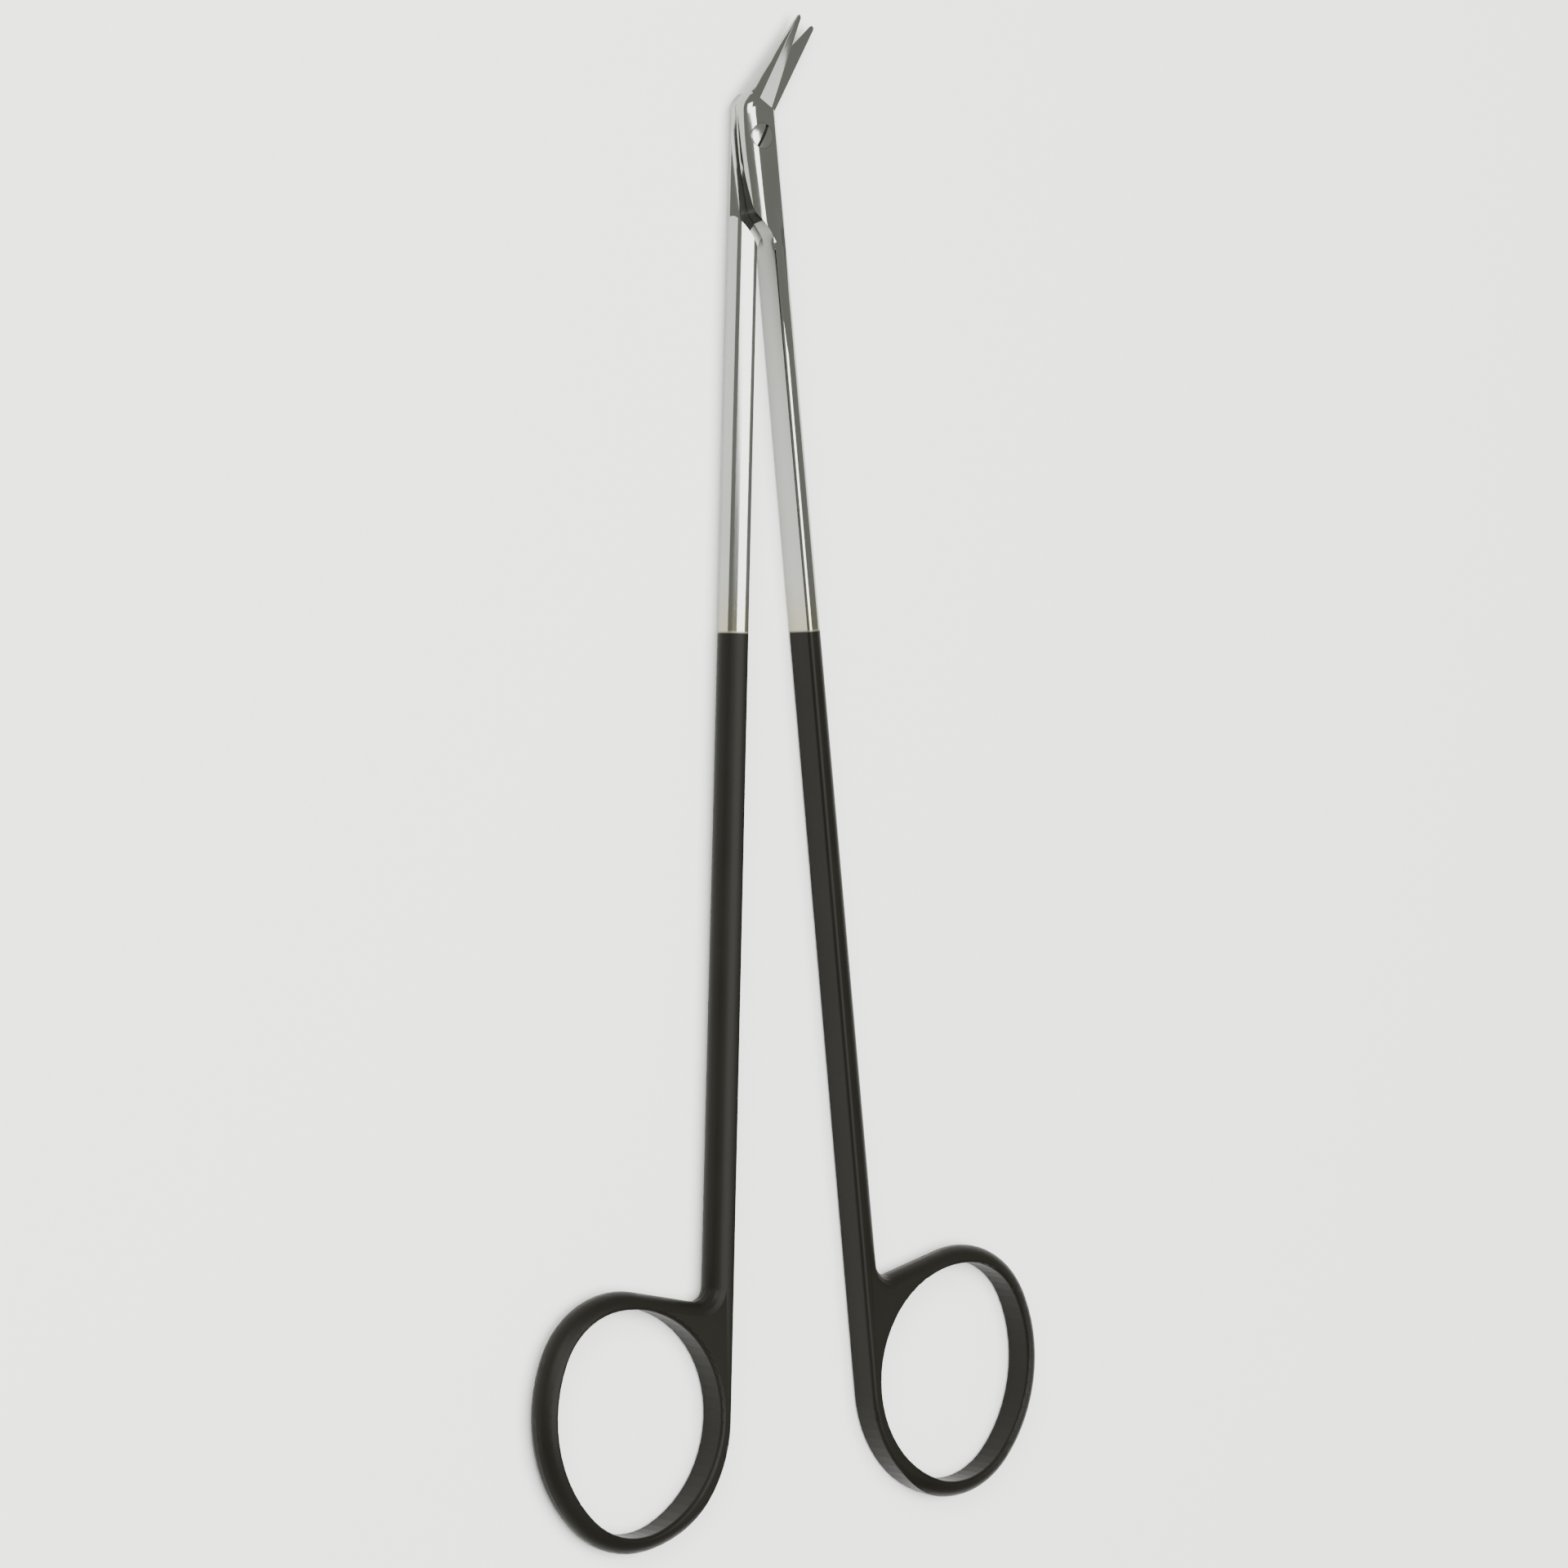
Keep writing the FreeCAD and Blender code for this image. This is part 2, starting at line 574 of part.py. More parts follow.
def draw_head(sketch, blade):
    """Draw the head's plan.

    Returns:
        The rounded corners as points, and the largest radius that fits the wall's upper one.
    """
    low_y = -S.head_overlap
    foot = (on_wall(-S.head_wall_foot), -S.head_wall_foot)
    shoulder = (S.joint_gap, -S.shoulder_end)
    inner = (S.joint_gap, -S.shank_top_inner)
    low_inner = (S.joint_gap + S.edge_radius * 2, low_y)
    low_outer = (side_line(S.head_overlap), low_y)
    spine, edge = flat(blade.spine_corner), flat(blade.edge_corner)
    wall_top = wall_crossing(spine, -heading(blade.spine_lean), S.head_wall_bend.value)
    side_way = flat((side_line(-S.blade_base_y), S.blade_base_y)) - flat(low_outer)
    last = blade.edge_corner if blade.side < 0 else blade.spine_corner
    top_lean = blade.edge_lean if blade.side < 0 else blade.lean - 90
    side_top = meet(flat(low_outer), side_way, flat(last), heading(top_lean))

    side = add_line(sketch, flat(low_outer), side_top)
    chain = [side]
    if blade.side < 0:
        chain.append(add_line(sketch, side_top, edge))
        chain.append(add_line(sketch, edge, spine))
    else:
        chain.append(add_line(sketch, side_top, spine))
    flank = add_line(sketch, spine, wall_top)
    centre = flat((S.head_wall_bend - S.head_wall, -S.head_wall_widest))
    wall = add_arc(sketch, centre, wall_top, flat(foot))
    slant = add_line(sketch, flat(foot), flat(shoulder))
    straight = add_line(sketch, flat(shoulder), flat(inner))
    buried = add_line(sketch, flat(inner), flat(low_inner))
    low = add_line(sketch, flat(low_inner), flat(low_outer))
    chain += [flank, wall, slant, straight, buried, low]
    for first, second in zip(chain, chain[1:] + chain[:1]):
        sketch.addConstraint(Sketcher.Constraint("Coincident", first, 2, second, 1))
    pin(sketch, side, 1, low_outer)
    rise = (S.shank_side_ring - S.shank_side_joint) / (S.ring_start - S.shank_top_outer)
    bind(sketch, "Angle", side, measure=angle_of(rise) + 90)
    if blade.side < 0:
        pin(sketch, chain[1], 2, blade.edge_corner)
        bind(sketch, "Angle", chain[1], measure=90 - blade.edge_lean)
    else:
        bind(sketch, "Angle", chain[1], measure=180 - blade.lean)
    pin(sketch, flank, 1, blade.spine_corner)
    bind(sketch, "Angle", flank, measure=-90 - blade.spine_lean)
    pin(sketch, wall, 3, (S.head_wall_bend - S.head_wall, -S.head_wall_widest))
    bind(sketch, "Radius", wall, measure=S.head_wall_bend)
    bind(sketch, "DistanceY", wall, 2, measure=foot[1])
    pin(sketch, slant, 2, shoulder)
    pin(sketch, straight, 2, inner)
    pin(sketch, buried, 2, low_inner)
    # The corner at the wall's top can be rounded as far as the straight flank beside it reaches.
    inward = centre - wall_top
    turn = abs(math.pi / 2 - inward.getAngle(spine - wall_top))
    room = (spine - wall_top).Length / math.tan(turn / 2)
    return side_top, wall_top, flat(foot), flat(shoulder), room


def draw_wall_path(sketch, blade):
    """Draw the way of the wall's edge rounding: spine, corner, wall and slanted shoulder."""
    centre_x = S.head_wall_bend - S.head_wall
    centre = flat((centre_x, -S.head_wall_widest))
    bend = S.head_wall_bend.value
    hollow = blade.side < 0
    corner_radius = S.spine_hollow_radius if hollow else S.spine_corner_radius
    radius = corner_radius.value
    start = blade.spine_place(S.spine_run)
    way = heading(blade.spine_lean)
    # The corner's centre lies one radius off the spine, inside the head or, in a hollow, outside it.
    side = -1 if hollow else 1
    off = Vector(way.y, -way.x, 0) * (side * radius)
    corner_centre = wall_crossing(flat(start) + off, -way, bend - side * radius)
    spine_end = corner_centre - off
    out = corner_centre - centre
    out.normalize()
    wall_start = centre + out * bend
    bend_y = S.wall_edge_bend
    wall_end = flat((on_wall(-bend_y), -bend_y))
    inward = centre - wall_end
    inward.normalize()
    down = Vector(-inward.y, inward.x, 0) * -1
    straight_end = wall_end + down * ((wall_end.y + S.wall_edge_foot.value) / -down.y)
    turn_radius = S.wall_edge_turn.value
    turn_centre = straight_end + inward * turn_radius
    slant = heading(S.wall_edge_slant)
    slant_way = Vector(slant.x, -slant.y, 0)
    turn_end = turn_centre - Vector(slant.y, slant.x, 0) * turn_radius
    end = turn_end + slant_way * ((turn_end.y + S.wall_edge_end.value) / slant.y)

    spine = add_line(sketch, flat(start), spine_end)
    if hollow:
        corner = add_arc(sketch, corner_centre, wall_start, spine_end)
        corner_ends = (2, 1)
    else:
        corner = add_arc(sketch, corner_centre, spine_end, wall_start)
        corner_ends = (1, 2)
    wall = add_arc(sketch, centre, wall_start, wall_end)
    straight = add_line(sketch, wall_end, straight_end)
    turn = add_arc(sketch, turn_centre, straight_end, turn_end)
    run = add_line(sketch, turn_end, end)
    join_tangent(sketch, spine, 2, corner, corner_ends[0])
    join_tangent(sketch, corner, corner_ends[1], wall, 1)
    join_tangent(sketch, wall, 2, straight, 1)
    join_tangent(sketch, straight, 2, turn, 1)
    join_tangent(sketch, turn, 2, run, 1)
    pin(sketch, spine, 1, start)
    bind(sketch, "Angle", spine, measure=-90 - blade.spine_lean)
    bind(sketch, "Radius", corner, measure=corner_radius)
    pin(sketch, wall, 3, (centre_x, -S.head_wall_widest))
    bind(sketch, "Radius", wall, measure=S.head_wall_bend)
    bind(sketch, "DistanceY", wall, 2, measure=-bend_y)
    bind(sketch, "DistanceY", straight, 2, measure=-S.wall_edge_foot)
    bind(sketch, "Radius", turn, measure=S.wall_edge_turn)
    bind(sketch, "Angle", run, measure=S.wall_edge_slant - 90)
    bind(sketch, "DistanceY", run, 2, measure=-S.wall_edge_end)
    return start


def blade_section(sketch, half, lap, base, thickness, radius, ridge):
    """Draw a cross section of the blade, cutting edge to the right and round spine to the left.

    Args:
        half: half of the section's width.
        lap: height of the lap face.
        base: height of the round spine's middle.
        thickness: height of the ridge over that middle.
        radius: the round spine's radius.
        ridge: distance of the ridge from the spine.
    """
    land = (half, lap + S.blade_land)
    top = (ridge - half, base + thickness)
    rise = radius * radius - (radius - S.belt_depth) * (radius - S.belt_depth)
    belt = (-half, base + root(rise))
    corners = [(half, lap), land, top, belt, (-half, lap)]
    centre = (radius - S.belt_depth - half, base)
    points = [flat(corner) for corner in corners]
    edges = [add_line(sketch, points[0], points[1]), add_line(sketch, points[1], points[2]),
             add_arc(sketch, flat(centre), points[2], points[3]),
             add_line(sketch, points[3], points[4]), add_line(sketch, points[4], points[0])]
    closed_chain(sketch, edges)
    pin(sketch, edges[0], 1, corners[0])
    pin(sketch, edges[0], 2, corners[1])
    pin(sketch, edges[2], 3, centre)
    bind(sketch, "Radius", edges[2], measure=radius)
    bind(sketch, "DistanceY", edges[2], 1, measure=top[1])
    bind(sketch, "DistanceX", edges[2], 2, measure=belt[0])
    pin(sketch, edges[3], 2, corners[4])


# The halves

def add_pad(body, name, sketch, height, midplane=False):
    pad = body.newObject("PartDesign::Pad", name)
    pad.Profile = sketch
    pad.setExpression("Length", height.text)
    pad.Midplane = midplane
    doc.recompute()
    return pad


def add_pocket(body, name, sketch, depth=None, midplane=False):
    """Cut a sketch's outline away, through the whole piece where no depth is given."""
    pocket = body.newObject("PartDesign::Pocket", name)
    pocket.Profile = sketch
    pocket.Midplane = midplane
    if depth is None:
        pocket.Type = "ThroughAll"
    else:
        pocket.setExpression("Length", depth.text)
    doc.recompute()
    return pocket


def add_sweep_cut(body, name, profile, path):
    pipe = body.newObject("PartDesign::SubtractivePipe", name)
    pipe.Profile = profile
    pipe.Spine = path
    doc.recompute()
    return pipe


def make_half(name, side, placement):
    """Make one half in its own drawing: handle, head, roundings, blade and holes.

    Args:
        name: the body's label.
        side: 1 for the front half, -1 for the back half, whose blade leans the other way.
        placement: expression of the body's place.
    """
    front = side > 0
    lap = S.lap_height if front else -S.lap_height + S.lap_clearance
    top = S.head_top if front else S.handle_thickness / 2
    blade = Blade(side)
    body = doc.addObject("PartDesign::Body", name)

    plan = new_sketch(body, f"{name}_handle_plan", "XY_Plane")
    draw_handle(plan)
    handle = add_pad(body, f"{name}_handle", plan, S.handle_thickness, midplane=True)
    hole_plan = new_sketch(body, f"{name}_ring_plan", "XY_Plane")
    draw_ring_hole(hole_plan)
    hole = add_pocket(body, f"{name}_ring_hole", hole_plan, S.handle_thickness * 2, midplane=True)
    round_edges(body, f"{name}_edges", hole, S.edge_radius, is_inner_edge)
    doc.recompute()

    head_plan = new_sketch(body, f"{name}_head_plan", "XY_Plane", base=(0, 0, lap))
    side_top, wall_top, foot, shoulder, spine_room = draw_head(head_plan, blade)
    rounded = add_pad(body, f"{name}_head", head_plan, top - lap)
    spine_radius = (S.spine_corner_radius if front else S.spine_hollow_radius).limited(spine_room)
    rounded = round_edges(body, f"{name}_spine_corner", rounded, spine_radius, is_upright_at(wall_top))
    if not front:
        rounded = round_edges(body, f"{name}_edge_corner", rounded, S.edge_corner_radius,
                              is_upright_at(side_top))
    rounded = round_edges(body, f"{name}_head_foot", rounded, S.head_foot_radius, is_upright_at(foot))
    rounded = round_edges(body, f"{name}_shoulder", rounded, S.shoulder_hollow, is_upright_at(shoulder))
    doc.recompute()

    if front:
        blend = new_sketch(body, f"{name}_blend_side", "YZ_Plane")
        draw_blend(blend)
        add_pocket(body, f"{name}_blend", blend, S.shank_side_ring * 4, midplane=True)

    outer_path = new_sketch(body, f"{name}_outer_path", "XY_Plane")
    start = draw_rounding_path(outer_path)
    outer = new_sketch(body, f"{name}_outer_round", "XZ_Plane", base=(0, 0, -start[1]))
    draw_round_side(outer, start[0] + S.belt_depth - S.round_side_radius, start[0] + CUT_MARGIN)
    add_sweep_cut(body, f"{name}_outer_side", outer, outer_path)

    crown = top - S.head_top
    wall_path = new_sketch(body, f"{name}_wall_path", "XY_Plane", base=(0, 0, crown))
    wall_start = draw_wall_path(wall_path, blade)
    wall = new_sketch(body, f"{name}_wall_round", "XZ_Plane", base=(wall_start[0], crown, -wall_start[1]),
                      turn=(Vector(0, 1, 0), -blade.spine_lean))
    draw_wall_round(wall, S.wall_edge_radius - S.belt_depth, -CUT_MARGIN)
    add_sweep_cut(body, f"{name}_wall_edge", wall, wall_path)

    add_blade(body, name, blade, lap, top)
    if front:
        add_bore(body, f"{name}_bore", S.screw_thread / 2 + S.turn_clearance,
                 S.handle_thickness / 2 + CUT_MARGIN, S.handle_thickness + CUT_MARGIN * 2)
        seat = S.head_top - S.screw_head_height - S.turn_clearance
        add_bore(body, f"{name}_counterbore", S.screw_head / 2 + S.turn_clearance,
                 S.head_top + CUT_MARGIN, S.head_top + CUT_MARGIN - seat)
    else:
        add_bore(body, f"{name}_bore", S.screw_thread / 2 + S.thread_clearance,
                 S.handle_thickness / 2 + CUT_MARGIN, S.handle_thickness + CUT_MARGIN * 2)
    body.setExpression("Placement", placement)
    return body


def add_bore(body, name, radius, start, depth):
    """Bore a hole down the pivot axis from a height."""
    plan = new_sketch(body, f"{name}_plan", "XY_Plane", base=(0, 0, start))
    ring = plan.addGeometry(Part.Circle(Vector(0, 0, 0), Vector(0, 0, 1), radius.value), False)
    plan.addConstraint(Sketcher.Constraint("Coincident", ring, 3, -1, 1))
    bind(plan, "Radius", ring, measure=radius)
    return add_pocket(body, name, plan, depth)


def add_blade(body, name, blade, lap, top):
    """Add the tapered blade: a loft from a section inside the head to the point."""
    crown = top - S.head_top
    # The root stays a little inside the head's own round spine, so the two never lie in one face.
    root_radius = S.wall_edge_radius - S.blade_inset
    root_rise = S.head_top - S.blade_inset
    ridge_root = root_radius - S.belt_depth - root(root_radius * root_radius - root_rise * root_rise)
    point_base = lap + S.blade_land
    point_rise = S.blade_point_thickness - S.blade_land
    before_tip = S.blade_length - S.blade_cap
    # Each row: place along the blade, width, round spine's middle, height over it, radius, ridge.
    rows = [
        (-S.blade_bury, S.blade_root_width - S.blade_inset * 2, crown, root_rise, root_radius, ridge_root),
        (before_tip, S.blade_point_width, point_base, point_rise, S.spine_round_point, S.ridge_point),
        (S.blade_length, S.blade_tip_width, point_base, point_rise * 0.7,
         S.spine_round_point * 0.7, S.ridge_point * 0.6),
    ]
    sections = []
    for number, (along, width, base, rise, radius, ridge) in enumerate(rows):
        place = blade.place(along)
        section = new_sketch(body, f"{name}_blade_section_{number}", "XZ_Plane",
                             base=(place[0], 0, -place[1]), turn=(Vector(0, 1, 0), -blade.lean))
        blade_section(section, width / 2, lap, base, rise, radius, ridge)
        sections.append(section)
    loft = body.newObject("PartDesign::AdditiveLoft", f"{name}_blade")
    loft.Profile = sections[0]
    loft.Sections = [(section, [""]) for section in sections[1:]]
    loft.Ruled = True
    doc.recompute()
    return loft


def make_screw(name):
    """Make the pivot screw: shaft, flat seat, domed head and its slot."""
    body = doc.addObject("PartDesign::Body", name)
    profile = new_sketch(body, f"{name}_profile", "XZ_Plane")
    seat = S.head_top - S.screw_head_height
    end = S.screw_end_recess - S.handle_thickness / 2
    shaft, head = S.screw_thread / 2, S.screw_head / 2
    peak = S.head_top + S.screw_dome
    corners = [(ZERO, end), (shaft, end), (shaft, seat), (head, seat), (head, S.head_top)]
    edges = [add_line(profile, flat(p), flat(q)) for p, q in zip(corners, corners[1:])]
    dome_radius = (head * head + S.screw_dome * S.screw_dome) / (S.screw_dome * 2)
    dome_centre = peak - dome_radius
    dome = add_arc(profile, Vector(0, dome_centre.value, 0), flat(corners[-1]), flat((ZERO, peak)))
    axis = add_line(profile, flat((ZERO, peak)), flat((ZERO, end)))
    closed_chain(profile, edges + [dome, axis])
    for edge, corner in zip(edges, corners):
        pin(profile, edge, 1, corner)
    pin(profile, dome, 1, corners[-1])
    pin(profile, dome, 3, (ZERO, None))
    pin(profile, axis, 1, (ZERO, peak))
    turn = body.newObject("PartDesign::Revolution", f"{name}_turned")
    turn.Profile = profile
    turn.ReferenceAxis = (profile, ["V_Axis"])
    turn.Angle = 360
    doc.recompute()
    slot = new_sketch(body, f"{name}_slot_plan", "XY_Plane", base=(0, 0, peak),
                      turn=(Vector(0, 0, 1), -S.screw_slot_turn))
    half, reach = S.screw_slot_width / 2, S.screw_head
    polygon(slot, [(-half, -reach), (half, -reach), (half, reach), (-half, reach)])
    add_pocket(body, f"{name}_slot", slot, S.screw_slot_depth + S.screw_dome)
    body.setExpression("Placement", f"placement(vector(0; 0; {LIFT}); rotation(vector(0; 0; 1); 0))")
    return body


# The finished piece

LIFT = (S.handle_thickness / 2).text
OPENED = f"placement(vector(0; 0; {LIFT}); rotation(vector(0; 0; 1); Sizes.rest_opening / 2))"
TURNED_OVER = (f"placement(vector(0; 0; {LIFT}); rotation(vector(sin(Sizes.rest_opening / 4); "
               "cos(Sizes.rest_opening / 4); 0); 180))")

bodies = [
    make_half("front_half", 1, OPENED),
    make_half("back_half", -1, TURNED_OVER),
    make_screw("pivot_screw"),
]
doc.recompute()

for item in doc.Objects:
    if "Invalid" in item.State or "Error" in item.State:
        raise RuntimeError(f"{item.Label}: {item.State}")

os.makedirs("parts", exist_ok=True)
for body in bodies:
    shape = body.Shape
    if shape.isNull() or not shape.isValid() or len(shape.Solids) != 1:
        raise RuntimeError(f"{body.Label}: the shape isn't one valid solid")
    box = shape.BoundBox
    print(f"{body.Label}: {shape.Volume:.2f} mm3, {len(shape.Faces)} faces, "
          f"x {box.XMin:.2f} to {box.XMax:.2f}, y {box.YMin:.2f} to {box.YMax:.2f}, "
          f"z {box.ZMin:.2f} to {box.ZMax:.2f}")
    shape.exportStep(f"parts/{body.Label}.step")
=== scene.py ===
"""Looks of a pair of angled surgical scissors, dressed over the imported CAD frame.

Two polished steel halves cross on a slotted screw. The lower part of each shank and its finger
ring carry a black coating. Lengths are in metres, those whose name ends in _mm in millimetres.
"""

import json
import logging
import math
from dataclasses import dataclass
from enum import Enum
from typing import Any, Optional, Sequence

import bmesh
import bpy
from mathutils import Matrix, Vector

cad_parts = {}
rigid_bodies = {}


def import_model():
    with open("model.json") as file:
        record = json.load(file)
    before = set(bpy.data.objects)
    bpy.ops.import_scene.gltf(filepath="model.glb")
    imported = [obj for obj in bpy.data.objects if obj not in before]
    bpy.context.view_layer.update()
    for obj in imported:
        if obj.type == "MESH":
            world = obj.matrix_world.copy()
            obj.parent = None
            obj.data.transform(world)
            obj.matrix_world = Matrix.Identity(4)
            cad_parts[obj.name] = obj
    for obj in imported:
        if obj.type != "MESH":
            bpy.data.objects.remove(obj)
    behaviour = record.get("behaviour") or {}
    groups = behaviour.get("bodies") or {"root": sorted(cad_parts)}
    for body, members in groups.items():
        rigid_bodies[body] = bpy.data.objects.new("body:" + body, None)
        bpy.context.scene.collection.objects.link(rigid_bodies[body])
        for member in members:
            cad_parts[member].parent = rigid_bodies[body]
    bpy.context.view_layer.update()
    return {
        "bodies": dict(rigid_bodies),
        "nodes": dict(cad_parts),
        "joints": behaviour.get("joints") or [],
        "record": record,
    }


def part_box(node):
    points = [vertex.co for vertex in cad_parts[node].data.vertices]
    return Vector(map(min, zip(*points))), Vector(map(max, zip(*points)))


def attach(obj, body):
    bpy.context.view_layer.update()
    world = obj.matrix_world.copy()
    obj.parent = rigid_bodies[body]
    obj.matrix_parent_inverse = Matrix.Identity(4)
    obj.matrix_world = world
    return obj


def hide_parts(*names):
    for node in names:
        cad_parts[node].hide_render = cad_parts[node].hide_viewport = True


LOG = logging.getLogger("scissors")
MM = 0.001  # one millimetre, in metres


class Half(Enum):
    """The two forged halves: CAD node name and the turn of its shank at rest, in degrees."""

    FRONT = ("front_half", 4.0)
    BACK = ("back_half", -4.0)

    @property
    def node(self) -> str:
        """Name of the CAD node."""
        return self.value[0]

    @property
    def turn(self) -> float:
        """Turn of the shank about the pivot at rest, in radians."""
        return math.radians(self.value[1])


def linear(code: str) -> tuple[float, float, float, float]:
    """Turn an sRGB hex colour into linear RGBA.

    Args:
        code: six hex digits after a hash sign.

    Returns:
        Linear red, green and blue, and an alpha of one.
    """
    channels = [int(code[i:i + 2], 16) / 255 for i in (1, 3, 5)]
    # The sRGB transfer curve, undone.
    red, green, blue = [c / 12.92 if c <= 0.04045 else ((c + 0.055) / 1.055) ** 2.4
                        for c in channels]
    return red, green, blue, 1.0


def add_node(tree: bpy.types.NodeTree, kind: str, settings: Optional[dict[str, Any]] = None,
             **inputs: Any) -> bpy.types.Node:
    """Add a node, set its properties and fill or link its inputs.

    Args:
        tree: the tree that gets the node.
        kind: the node's type name.
        settings: properties by name.
        inputs: socket values or output sockets, by socket name or by i and a number.

    Returns:
        The new node.
    """
    node = tree.nodes.new(kind)
    for name, value in (settings or {}).items():
        setattr(node, name, value)
    for name, value in inputs.items():
        key = int(name[1:]) if name[0] == "i" and name[1:].isdigit() else name.replace("_", " ")
        socket = node.inputs[key]
        if isinstance(value, bpy.types.NodeSocket):
            tree.links.new(value, socket)
        else:
            socket.default_value = value
    return node


def new_material(name: str) -> tuple[bpy.types.Material, bpy.types.NodeTree]:
    """Make a material with an empty node tree.

    Args:
        name: the material's name.

    Returns:
        The material and its tree.
    """
    material = bpy.data.materials.new(name)
    material.use_nodes = True
    material.node_tree.nodes.clear()
    return material, material.node_tree


def mixed(tree: bpy.types.NodeTree, share: bpy.types.NodeSocket, first: Any,
          second: Any) -> bpy.types.NodeSocket:
    """Return a colour between two.

    Args:
        tree: the material's tree.
        share: zero gives the first colour and one the second.
        first: a linear colour, or a socket that gives one.
        second: the other colour.

    Returns:
        The mixed colour's socket.
    """
    return add_node(tree, "ShaderNodeMix", {"data_type": "RGBA"}, i0=share, i6=first,
                    i7=second).outputs[2]


def spread(tree: bpy.types.NodeTree, share: bpy.types.NodeSocket, low: float,
           high: float) -> bpy.types.NodeSocket:
    """Return a value that runs from low to high as the share runs from zero to one."""
    return add_node(tree, "ShaderNodeMapRange", Value=share, To_Min=low, To_Max=high).outputs[0]


def eased(tree: bpy.types.NodeTree, value: bpy.types.NodeSocket, start: float, end: float,
          low: float = 0.0, high: float = 1.0) -> bpy.types.NodeSocket:
    """Return a smooth step from low at the start to high at the end.

    Args:
        tree: the material's tree.
        value: what runs from the start to the end.
        start: value where the step begins.
        end: value where it ends.
        low: result at the start.
        high: result at the end.

    Returns:
        The step's socket.
    """
    return add_node(tree, "ShaderNodeMapRange", {"interpolation_type": "SMOOTHSTEP"}, Value=value,
                    From_Min=start, From_Max=end, To_Min=low, To_Max=high).outputs[0]


def end_in_surface(tree: bpy.types.NodeTree, **inputs: Any) -> None:
    """Close a tree with a Principled surface that has the given inputs."""
    shader = add_node(tree, "ShaderNodeBsdfPrincipled", **inputs)
    add_node(tree, "ShaderNodeOutputMaterial", Surface=shader.outputs[0])


